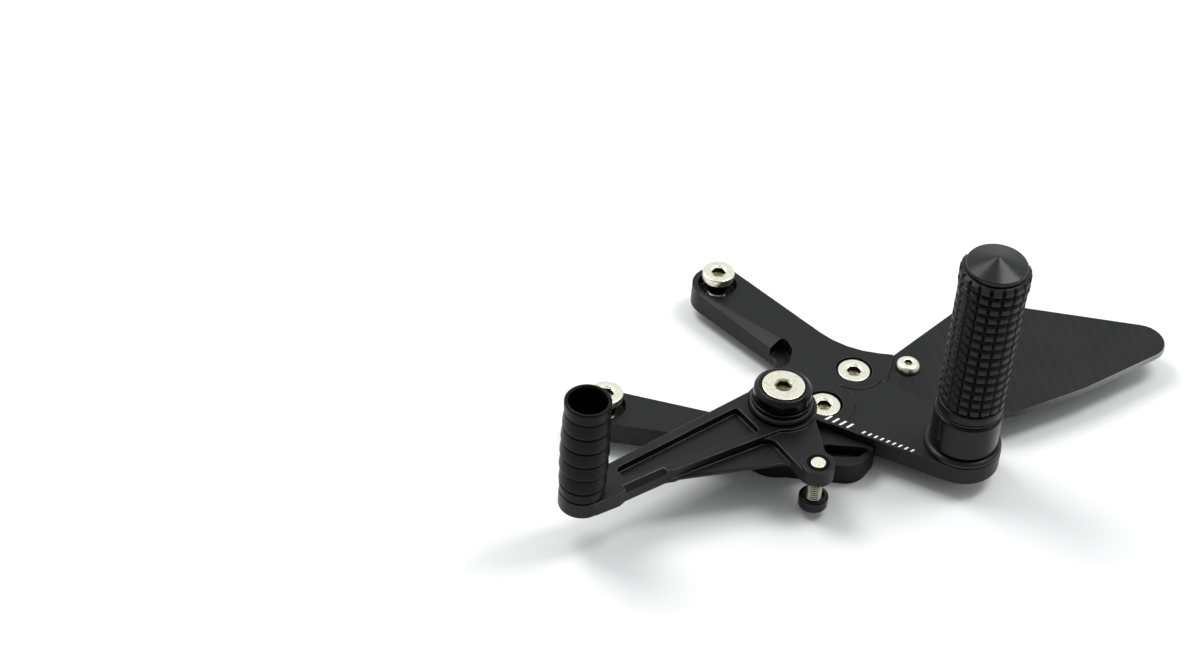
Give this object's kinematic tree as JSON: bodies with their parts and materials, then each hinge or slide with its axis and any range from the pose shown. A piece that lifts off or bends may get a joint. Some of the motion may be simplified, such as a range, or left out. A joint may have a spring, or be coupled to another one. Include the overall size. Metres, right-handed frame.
{
  "type": "motorcycle_rearset_foot_peg",
  "caption": "Shift-side rearset foot peg: knurled peg on a bolted carrier, fork bracket, heel guard and a pivoting shift lever with toe peg and linkage stud",
  "frame": {"origin": "on the shift lever's pivot axis, in the plane of the bracket's back faces; the part lies on those faces", "axes": "+X towards the heel guard tip, +Y towards the upper fork arm, +Z along the foot peg away from the motorcycle"},
  "size_m": [0.2322, 0.1493, 0.1062],
  "materials": {
    "anodised": "satin black anodised",
    "knurled_anodised": "matte black anodised knurl",
    "stainless": "bright turned stainless",
    "steel": "ground steel",
    "guard_composite": "matte black with a fine twill",
    "seal_rubber": "matte"
  },
  "bodies": {
    "bracket_assembly": {"fork_bracket": "anodised", "peg_carrier": "anodised", "carrier_bolt_upper": "stainless", "carrier_bolt_lower": "stainless", "heel_guard": "guard_composite", "guard_screw_front": "stainless", "guard_screw_rear": "stainless", "pivot_screw": "stainless", "pivot_cap": "anodised", "pivot_sleeve": "steel", "pivot_thrust_washer": "anodised", "pivot_seal_upper": "seal_rubber", "pivot_seal_lower": "seal_rubber", "peg_base_ring": "anodised", "peg_collar": "anodised", "peg_o_ring": "seal_rubber", "peg_grip_sleeve": "knurled_anodised", "peg_head_ring": "knurled_anodised", "peg_end_cap": "anodised", "peg_spindle": "steel", "peg_bolt": "stainless", "peg_washer": "stainless"},
    "lever_assembly": {"shift_lever": "anodised", "lever_bearing_upper": "steel", "lever_bearing_lower": "steel", "toe_peg": "anodised", "toe_peg_screw": "stainless", "linkage_stud": "stainless", "linkage_collar": "anodised"},
    "upper_screw": {"mount_bolt_upper": "stainless"},
    "lower_screw": {"mount_bolt_lower": "stainless"}
  },
  "joints": [
    {"name": "shift_lever_pivot", "type": "hinge", "parent": "bracket_assembly", "child": "lever_assembly", "pos_m": [0, 0, 0.02], "axis": [0, 0, 1], "range_deg": [-12, 12]},
    {"name": "upper_screw_slide", "type": "slide", "parent": "bracket_assembly", "child": "upper_screw", "axis": [0, 0, 1], "range_m": [-0.006, 0.0095]},
    {"name": "lower_screw_slide", "type": "slide", "parent": "bracket_assembly", "child": "lower_screw", "axis": [0, 0, 1], "range_m": [-0.006, 0.0095]}
  ]
}
